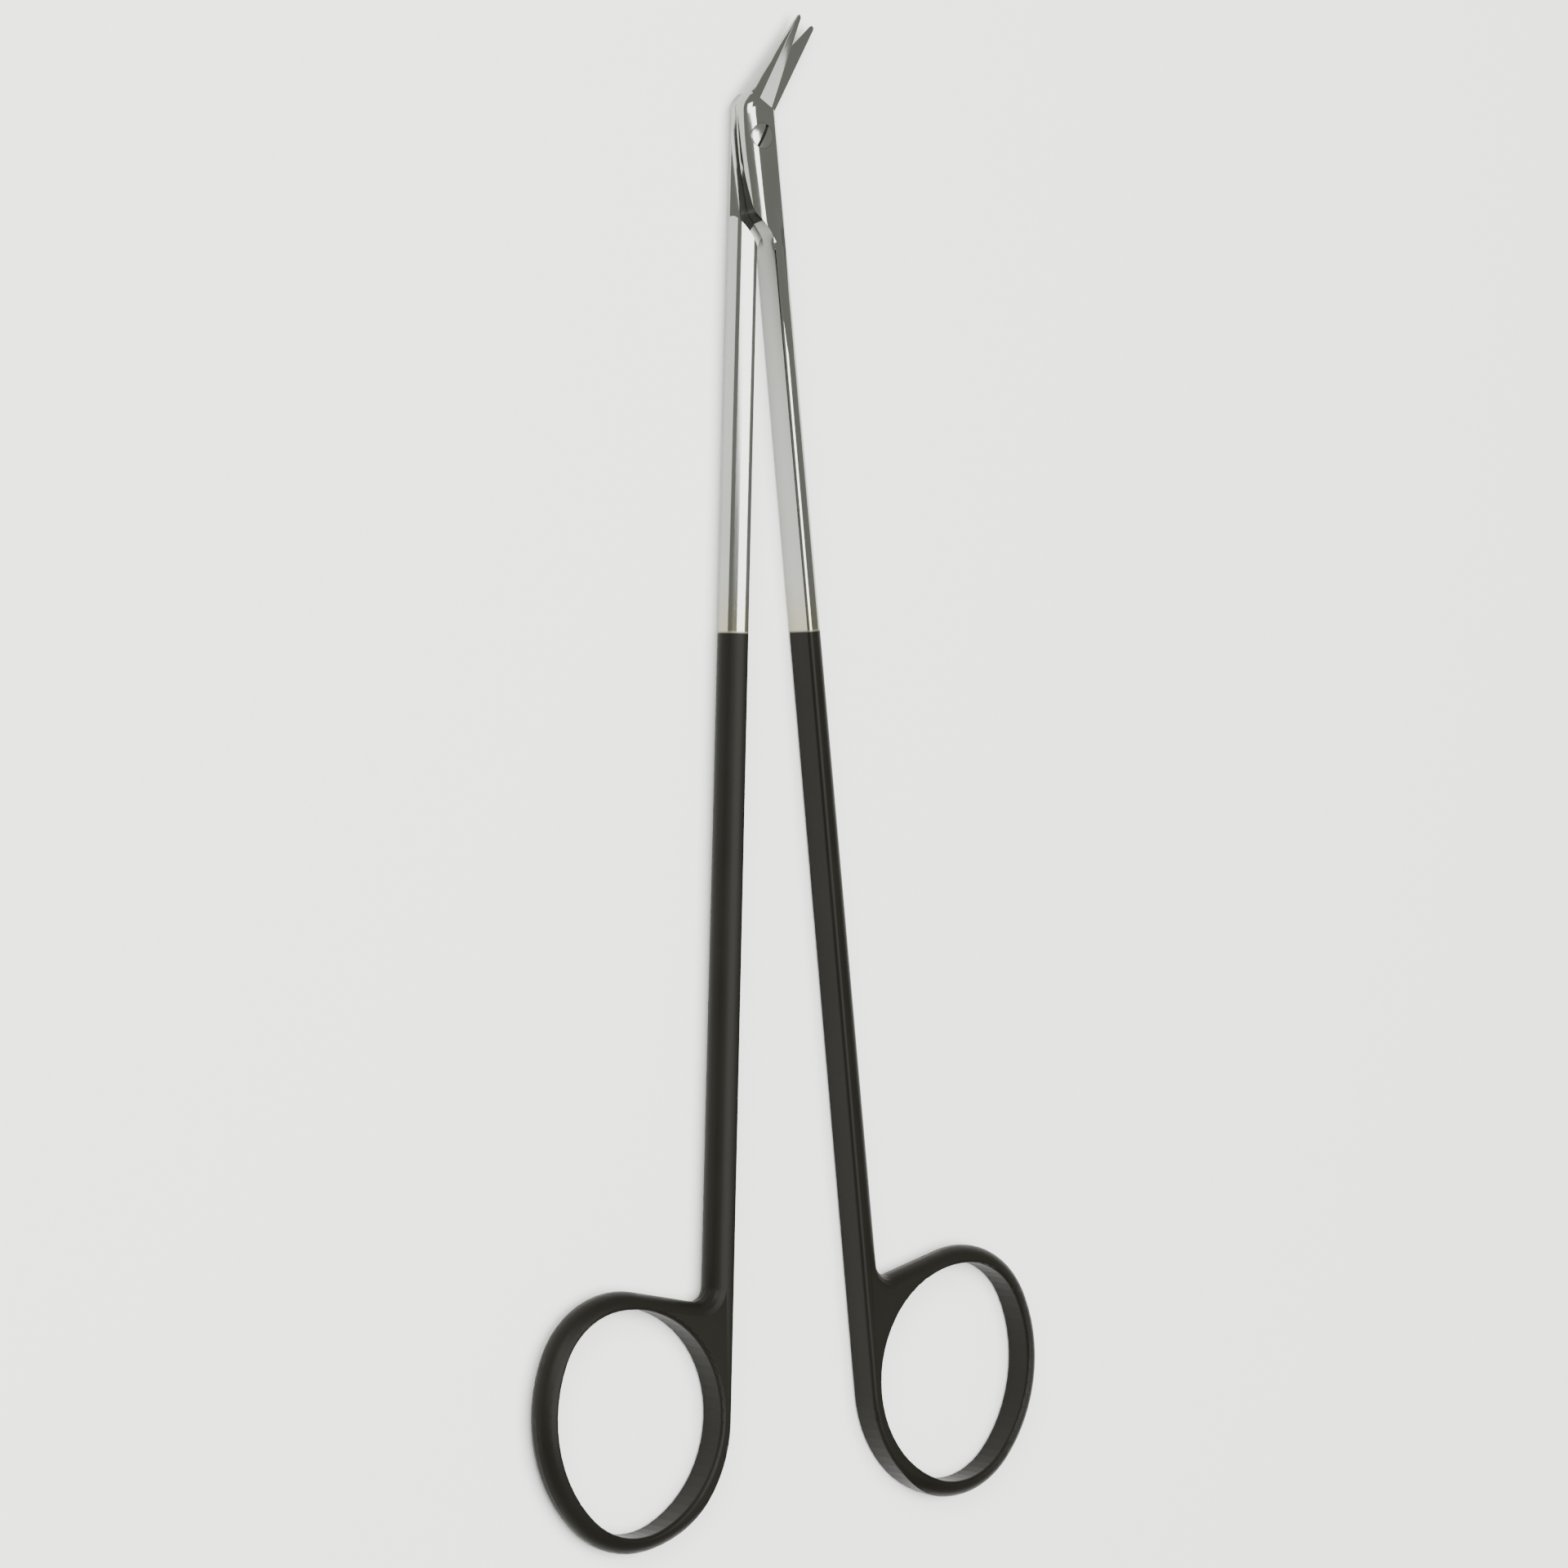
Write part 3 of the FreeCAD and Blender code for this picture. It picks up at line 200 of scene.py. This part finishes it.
@dataclass(frozen=True)
class CoatedSteel:
    """Martensitic stainless steel, forged, ground and belt polished, coated black below a line.

    The bare part mirrors the studio, softened by fine belt lines along the shank. Heat from coating
    left a faint straw and rose tint just above the line. The black coat is thin, hard and satin.
    """

    name: str
    turn: float
    steel: str = "#929390"
    steel_dull: str = "#8b8c88"
    straw: str = "#8f8b6c"
    rose: str = "#9c8377"
    coat: str = "#0f0e0b"
    coat_pale: str = "#191814"
    steel_roughness: float = 0.075
    steel_roughness_spread: float = 0.07
    coat_gloss: float = 0.06
    coat_roughness: float = 0.33
    coat_roughness_spread: float = 0.12
    coat_line_mm: float = 60.8
    coat_fade_mm: float = 0.22
    tint_reach_mm: float = 7.0
    tint_strength: float = 0.55
    # Belt lines are about 0.05 mm apart on the real steel. They are drawn wider, so that they show.
    belt_line_mm: float = 0.22
    belt_length_mm: float = 9.0
    belt_depth_mm: float = 0.0007
    # The coat's grain follows the fine blasting below it, again drawn wider than the real 0.1 mm.
    coat_grain_mm: float = 0.3
    coat_depth_mm: float = 0.003
    cloud_mm: float = 14.0
    cloud_detail: float = 3.0
    fine_detail: float = 2.0

    def build(self) -> bpy.types.Material:
        """Build the material.

        Returns:
            The material, read from Object coordinates.
        """
        material, tree = new_material(self.name)
        coordinates = add_node(tree, "ShaderNodeTexCoord")
        # The shank's own frame: Y runs along the shank, towards the blade.
        shank = add_node(tree, "ShaderNodeMapping", {"vector_type": "POINT"},
                         Vector=coordinates.outputs["Object"], Rotation=(0, 0, -self.turn))
        place = shank.outputs[0]
        along = add_node(tree, "ShaderNodeSeparateXYZ", i0=place).outputs["Y"]
        coated = self.coat_factor(tree, along)
        clouds = self.noise(tree, place, (self.cloud_mm,) * 3, self.cloud_detail)
        belts = self.noise(tree, place, (self.belt_line_mm, self.belt_length_mm, self.belt_line_mm),
                           self.fine_detail)
        grain = self.noise(tree, place, (self.coat_grain_mm,) * 3, self.fine_detail)
        steel = mixed(tree, clouds, linear(self.steel), linear(self.steel_dull))
        coat = mixed(tree, clouds, linear(self.coat), linear(self.coat_pale))
        colour = mixed(tree, coated, self.tint(tree, along, steel), coat)
        bare_rough = spread(tree, belts, self.steel_roughness,
                            self.steel_roughness + self.steel_roughness_spread)
        coat_rough = spread(tree, clouds, self.coat_roughness,
                            self.coat_roughness + self.coat_roughness_spread)
        rough = add_node(tree, "ShaderNodeMix", {"data_type": "FLOAT"}, i0=coated, i2=bare_rough,
                         i3=coat_rough)
        belt_bump = add_node(tree, "ShaderNodeBump", Strength=1.0,
                             Distance=self.belt_depth_mm * MM, Height=belts)
        coat_height = add_node(tree, "ShaderNodeMath", {"operation": "MULTIPLY"}, i0=grain,
                               i1=coated)
        bump = add_node(tree, "ShaderNodeBump", Strength=1.0, Distance=self.coat_depth_mm * MM,
                        Height=coat_height.outputs[0], Normal=belt_bump.outputs[0])
        # Bare steel is a metal. The coat is a hard black layer that mirrors little.
        end_in_surface(tree, Base_Color=colour, Metallic=spread(tree, coated, 1.0, 0.0),
                       Roughness=rough.outputs[0], Specular_IOR_Level=self.coat_gloss,
                       Normal=bump.outputs[0])
        return material

    def coat_factor(self, tree: bpy.types.NodeTree,
                    along: bpy.types.NodeSocket) -> bpy.types.NodeSocket:
        """Return one below the coat's line and zero above it.

        Args:
            tree: the material's tree.
            along: place along the shank, in metres, from the pivot towards the blade.
        """
        line, fade = -self.coat_line_mm * MM, self.coat_fade_mm * MM
        return eased(tree, along, line + fade, line - fade)

    def noise(self, tree: bpy.types.NodeTree, place: bpy.types.NodeSocket,
              spans_mm: Sequence[float], detail: float) -> bpy.types.NodeSocket:
        """Return a noise whose cells have the given spans.

        Args:
            tree: the material's tree.
            place: coordinates in metres.
            spans_mm: cell size along X, Y and Z.
            detail: octaves of finer noise.
        """
        scaled = add_node(tree, "ShaderNodeMapping", {"vector_type": "POINT"}, Vector=place,
                          Scale=tuple(1 / (span * MM) for span in spans_mm))
        pattern = add_node(tree, "ShaderNodeTexNoise", Vector=scaled.outputs[0], Scale=1.0,
                           Detail=detail)
        return pattern.outputs[0]

    def tint(self, tree: bpy.types.NodeTree, along: bpy.types.NodeSocket,
             steel: bpy.types.NodeSocket) -> bpy.types.NodeSocket:
        """Lay the heat tint over the steel above the coat's line, straw at first and then rose.

        Args:
            tree: the material's tree.
            along: place along the shank.
            steel: colour of the bare steel.

        Returns:
            The tinted colour.
        """
        line, reach = -self.coat_line_mm * MM, self.tint_reach_mm * MM
        shade = mixed(tree, eased(tree, along, line, line + reach), linear(self.straw),
                      linear(self.rose))
        share = eased(tree, along, line, line + reach, self.tint_strength, 0.0)
        return mixed(tree, share, steel, shade)


@dataclass(frozen=True)
class ScrewSteel:
    """Stainless steel screw, turned and ground, with fine rings round its axis from the lathe."""

    name: str = "turned_stainless_steel"
    steel: str = "#989995"
    roughness: float = 0.11
    roughness_spread: float = 0.08
    ring_mm: float = 0.16
    ring_depth_mm: float = 0.0006
    ring_detail: float = 1.0

    def build(self) -> bpy.types.Material:
        """Build the material."""
        material, tree = new_material(self.name)
        coordinates = add_node(tree, "ShaderNodeTexCoord")
        axes = add_node(tree, "ShaderNodeSeparateXYZ", i0=coordinates.outputs["Object"])
        flat = add_node(tree, "ShaderNodeCombineXYZ", i0=axes.outputs["X"], i1=axes.outputs["Y"])
        radius = add_node(tree, "ShaderNodeVectorMath", {"operation": "LENGTH"}, i0=flat.outputs[0])
        count = add_node(tree, "ShaderNodeMath", {"operation": "MULTIPLY"},
                         i0=radius.outputs["Value"], i1=1 / (self.ring_mm * MM))
        rings = add_node(tree, "ShaderNodeTexNoise", {"noise_dimensions": "1D"}, W=count.outputs[0],
                         Scale=1.0, Detail=self.ring_detail)
        rough = spread(tree, rings.outputs[0], self.roughness,
                       self.roughness + self.roughness_spread)
        bump = add_node(tree, "ShaderNodeBump", Strength=1.0, Distance=self.ring_depth_mm * MM,
                        Height=rings.outputs[0])
        end_in_surface(tree, Base_Color=linear(self.steel), Metallic=1.0, Roughness=rough,
                       Normal=bump.outputs[0])
        return material


@dataclass(frozen=True)
class TablePaint:
    """Matt white painted table top, with the faint orange peel of a roller."""

    name: str = "matt_white_paint"
    colour: str = "#f6f6f4"
    roughness: float = 0.9
    # The peel breaks the floor's flat tone a little. It is too shallow to cast shadows.
    peel_mm: float = 3.0
    peel_depth_mm: float = 0.02
    peel_detail: float = 1.0

    def build(self) -> bpy.types.Material:
        """Build the material."""
        material, tree = new_material(self.name)
        coordinates = add_node(tree, "ShaderNodeTexCoord")
        peel = add_node(tree, "ShaderNodeTexNoise", Vector=coordinates.outputs["Object"],
                        Scale=1 / (self.peel_mm * MM), Detail=self.peel_detail)
        bump = add_node(tree, "ShaderNodeBump", Strength=1.0, Distance=self.peel_depth_mm * MM,
                        Height=peel.outputs[0])
        end_in_surface(tree, Base_Color=linear(self.colour), Roughness=self.roughness,
                       Normal=bump.outputs[0])
        return material


@dataclass(frozen=True)
class Roundings:
    """Where the round surfaces of a half lie in its own drawing, in millimetres.

    The own drawing has its origin on the pivot at mid-thickness, Y along the shank towards the
    blade, X towards the shank's outer side and Z towards the half's face. The lift takes that
    origin to its height over the table.
    """

    lift: float = 2.15
    # The shank's round outer side runs from the joint to the ring and widens evenly on the way.
    side_radius: float = 2.2
    side_at_joint: float = 3.05
    side_at_ring: float = 3.3
    side_start: float = 10.0
    side_end: float = 140.5
    side_top: float = 3.0
    belt_depth: float = 0.03
    # The head's inner wall is an arc in plan, with one rounding along its upper edge.
    wall_radius: float = 2.0
    wall_bend: float = 60.0
    wall_offset: float = 2.2
    wall_widest: float = -0.8
    wall_reach: tuple[float, float] = (-3.5, 3.2)
    rise: float = 1.87
    half_thickness: float = 2.15
    # How far off the round surface a point may lie, and how many degrees a face may lean from it.
    slack: float = 0.03
    most_apart: float = 32.0

    def own(self, half: Half, place: Vector) -> Vector:
        """Take a point from the scene, in metres, to a half's own drawing."""
        point = Matrix.Rotation(-half.turn, 3, "Z") @ (place / MM - Vector((0, 0, self.lift)))
        return point if half is Half.FRONT else Vector((-point.x, point.y, -point.z))

    def outward(self, half: Half, way: Vector) -> Vector:
        """Take a direction from a half's own drawing to the scene."""
        turned = way if half is Half.FRONT else Vector((-way.x, way.y, -way.z))
        return Matrix.Rotation(half.turn, 3, "Z") @ turned

    def normal(self, half: Half, place: Vector) -> Optional[Vector]:
        """Return the true normal of the round surface that a point lies on.

        Args:
            half: the half that the point belongs to.
            place: the point, in metres.

        Returns:
            The unit normal, or None off the round surfaces.
        """
        point = self.own(half, place)
        share = (-point.y - self.side_start) / (self.side_end - self.side_start)
        side = self.side_at_joint + (self.side_at_ring - self.side_at_joint) * share
        across = Vector((point.x - (side + self.belt_depth - self.side_radius), 0, point.z))
        if (-self.side_end < point.y < self.side_top and across.x > 0
                and abs(across.length - self.side_radius) < self.slack):
            return self.outward(half, across.normalized())
        centre = Vector((self.wall_bend - self.wall_offset, self.wall_widest, 0))
        crown = 0.0 if half is Half.FRONT else self.half_thickness - self.rise
        arm = Vector((point.x, point.y, 0)) - centre
        over = arm.length - (self.wall_bend - self.wall_radius + self.belt_depth)
        across = Vector((over, 0, point.z - crown))
        low, high = self.wall_reach
        if low < point.y < high and over > 0 and abs(across.length - self.wall_radius) < self.slack:
            way = arm.normalized() * over + Vector((0, 0, across.z))
            return self.outward(half, way.normalized())
        return None


@dataclass
class Scissors:
    """The two halves and the screw, each a smooth copy of its CAD solid.

    The copies keep the solids' shapes. Their points are merged. The round surfaces of the halves
    get their true normals, so that polished steel mirrors the studio without the facets' ripples.
    Angles are
    in degrees: faces closer than the flat angle become one, and edges over the crease angle stay
    sharp. A half's face over the flat area keeps its own normal.
    """

    frame: dict[str, Any]
    roundings: Roundings = Roundings()
    merge_mm: float = 0.0005
    flat_angle: float = 0.4
    crease_angle: float = 14.0
    flat_area_mm2: float = 1.5

    def build(self) -> None:
        """Make and dress each piece."""
        for half in Half:
            finish = CoatedSteel(f"polished_and_black_coated_steel_{half.node}", half.turn)
            body = "front" if half is Half.FRONT else "back"
            piece = self.copy_of(half.node, f"{body}_half_polished", body, finish.build())
            self.set_normals(piece.data, half)
        self.copy_of("pivot_screw", "pivot_screw_polished", "back", ScrewSteel().build())

    def copy_of(self, node: str, name: str, body: str,
                material: bpy.types.Material) -> bpy.types.Object:
        """Copy a CAD node with merged points and let the copy stand for it.

        Args:
            node: the CAD node.
            name: the copy's name.
            body: the body that it moves with.
            material: its finish.

        Returns:
            The copy.
        """
        source = self.frame["nodes"][node]
        form = bmesh.new()
        form.from_mesh(source.data)
        bmesh.ops.remove_doubles(form, verts=form.verts, dist=self.merge_mm * MM)
        bmesh.ops.dissolve_limit(form, angle_limit=math.radians(self.flat_angle), verts=form.verts,
                                 edges=form.edges, use_dissolve_boundaries=False)
        for face in form.faces:
            face.smooth = True
            face.material_index = 0
        crease = math.radians(self.crease_angle)
        for edge in form.edges:
            edge.smooth = edge.is_manifold and edge.calc_face_angle(0.0) < crease
        mesh = bpy.data.meshes.new(name)
        form.to_mesh(mesh)
        form.free()
        mesh.materials.append(material)
        piece = bpy.data.objects.new(name, mesh)
        bpy.context.scene.collection.objects.link(piece)
        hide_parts(node)
        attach(piece, body)
        LOG.info("%s stands for %s, with %d faces", name, node, len(mesh.polygons))
        return piece

    def set_normals(self, mesh: bpy.types.Mesh, half: Half) -> None:
        """Give flat faces their own normal and round surfaces their true one.

        Args:
            mesh: the copy of the half.
            half: which half it is.
        """
        normals = [corner.vector.copy() for corner in mesh.corner_normals]
        true = [self.roundings.normal(half, vertex.co) for vertex in mesh.vertices]
        nearest = math.cos(math.radians(self.roundings.most_apart))
        for face in mesh.polygons:
            wide = face.area > self.flat_area_mm2 * MM * MM
            for corner in face.loop_indices:
                exact = true[mesh.loops[corner].vertex_index]
                if exact is not None and exact.dot(face.normal) > nearest:
                    normals[corner] = exact
                elif wide:
                    normals[corner] = face.normal.copy()
        mesh.normals_split_custom_set(normals)


@dataclass
class Studio:
    """Pale table, two soft lights overhead and a camera that looks down from the left.

    Angles are in degrees. The softbox's reach is how far it extends to the left and to the right of
    the zenith, seen from the scissors: it sets where the bright band in the round steel begins and
    ends, and leaves the flat tops dark. Its radiance is about four times the table's. The pivot
    falls on its pixel of a square frame.
    """

    pivot: Vector
    lens_mm: float = 105.32
    distance: float = 0.5617
    yaw: float = 38.0
    pitch: float = 1.72
    roll: float = -1.812
    pivot_pixel: tuple[float, float] = (922.6, 168.0)
    frame_pixels: float = 1920.0
    sensor_mm: float = 36.0
    clip: tuple[float, float] = (0.05, 10.0)
    middle_y: float = -0.08
    floor_gap: float = 0.00005
    floor_size: float = 4.0
    light_height: float = 0.9
    softbox_reach: tuple[float, float] = (29.0, 24.0)
    softbox_length: float = 0.66
    softbox_radiance: float = 12.0
    side_slant: float = 11.0
    side_start: float = 0.07
    side_size: tuple[float, float] = (1.1, 0.8)
    surroundings: tuple[float, float, float, float] = (0.50, 0.51, 0.47, 1.0)

    def build(self) -> None:
        """Build table, lights, surroundings and camera."""
        self.build_floor()
        self.build_lights()
        self.build_world()
        self.build_camera()

    def build_floor(self) -> None:
        """Lay the table top just under the plane that the scissors rest on."""
        mesh = bpy.data.meshes.new("table_top")
        form = bmesh.new()
        bmesh.ops.create_grid(form, x_segments=1, y_segments=1, size=self.floor_size / 2)
        bmesh.ops.translate(form, verts=form.verts, vec=(0, self.middle_y, -self.floor_gap))
        form.to_mesh(mesh)
        form.free()
        floor = bpy.data.objects.new("table_top", mesh)
        mesh.materials.append(TablePaint().build())
        bpy.context.scene.collection.objects.link(floor)

    def add_light(self, name: str, size: tuple[float, float], place: Vector,
                  turn: float = 0.0) -> None:
        """Add a rectangular soft light that faces down.

        Args:
            name: the light's name.
            size: width and length.
            place: its middle.
            turn: its turn about the vertical, in radians.
        """
        data = bpy.data.lights.new(name, "AREA")
        data.shape = "RECTANGLE"
        data.size, data.size_y = size
        data.energy = self.softbox_radiance * math.pi * size[0] * size[1]
        light = bpy.data.objects.new(name, data)
        light.location = place
        light.rotation_euler = (0, 0, turn)
        bpy.context.scene.collection.objects.link(light)

    def build_lights(self) -> None:
        """Hang one softbox over the scissors, and a second one on its left, towards the blades."""
        left, right = (math.tan(math.radians(angle)) for angle in self.softbox_reach)
        width = self.light_height * (left + right)
        offset = self.light_height * (right - left) / 2
        self.add_light("overhead_softbox", (width, self.softbox_length),
                       Vector((offset, self.middle_y, self.light_height)))
        # Its slanted near edge narrows the dark line in the steel towards the joint.
        slant = math.radians(self.side_slant)
        along = Vector((-math.cos(slant), math.sin(slant), 0))
        ahead = Vector((math.sin(slant), math.cos(slant), 0))
        corner = Vector((-self.light_height * left, self.side_start, self.light_height))
        wide, deep = self.side_size
        place = corner + along * wide / 2 + ahead * deep / 2
        self.add_light("side_softbox", (wide, deep), place, -slant)

    def build_world(self) -> None:
        """Surround the table with a warm dark grey."""
        world = bpy.data.worlds.new("studio_surroundings")
        bpy.context.scene.world = world
        world.use_nodes = True
        background = world.node_tree.nodes["Background"]
        background.inputs["Color"].default_value = self.surroundings
        background.inputs["Strength"].default_value = 1.0

    def build_camera(self) -> None:
        """Place the camera so that the pivot falls on its pixel of the photograph's frame."""
        yaw, pitch, roll = (math.radians(a) for a in (self.yaw, self.pitch, self.roll))
        right = Vector((math.cos(yaw), 0, math.sin(yaw)))
        back = Vector((-math.sin(yaw), 0, math.cos(yaw)))
        ahead = Vector((0, 1, 0))
        raised = ahead * math.cos(pitch) - back * math.sin(pitch)
        behind = back * math.cos(pitch) + ahead * math.sin(pitch)
        across = right * math.cos(roll) + raised * math.sin(roll)
        upward = raised * math.cos(roll) - right * math.sin(roll)
        scale = self.distance * self.sensor_mm / (self.lens_mm * self.frame_pixels)
        middle = self.frame_pixels / 2
        over = (self.pivot_pixel[0] - middle) * scale
        above = -(self.pivot_pixel[1] - middle) * scale
        place = self.pivot - across * over - upward * above + behind * self.distance
        data = bpy.data.cameras.new("photo_camera")
        data.lens = self.lens_mm
        data.sensor_width = self.sensor_mm
        data.clip_start, data.clip_end = self.clip
        camera = bpy.data.objects.new("photo_camera", data)
        turn = Matrix((across, upward, behind)).transposed().to_4x4()
        camera.matrix_world = Matrix.Translation(place) @ turn
        bpy.context.scene.collection.objects.link(camera)
        bpy.context.scene.camera = camera


def main() -> None:
    """Load the frame, dress the scissors and set up the studio."""
    logging.basicConfig(level=logging.INFO, format="%(name)s: %(message)s")
    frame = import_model()
    low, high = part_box("back_half")
    Scissors(frame).build()
    Studio(pivot=Vector((0, 0, (low.z + high.z) / 2))).build()


if __name__ == "__main__":
    main()
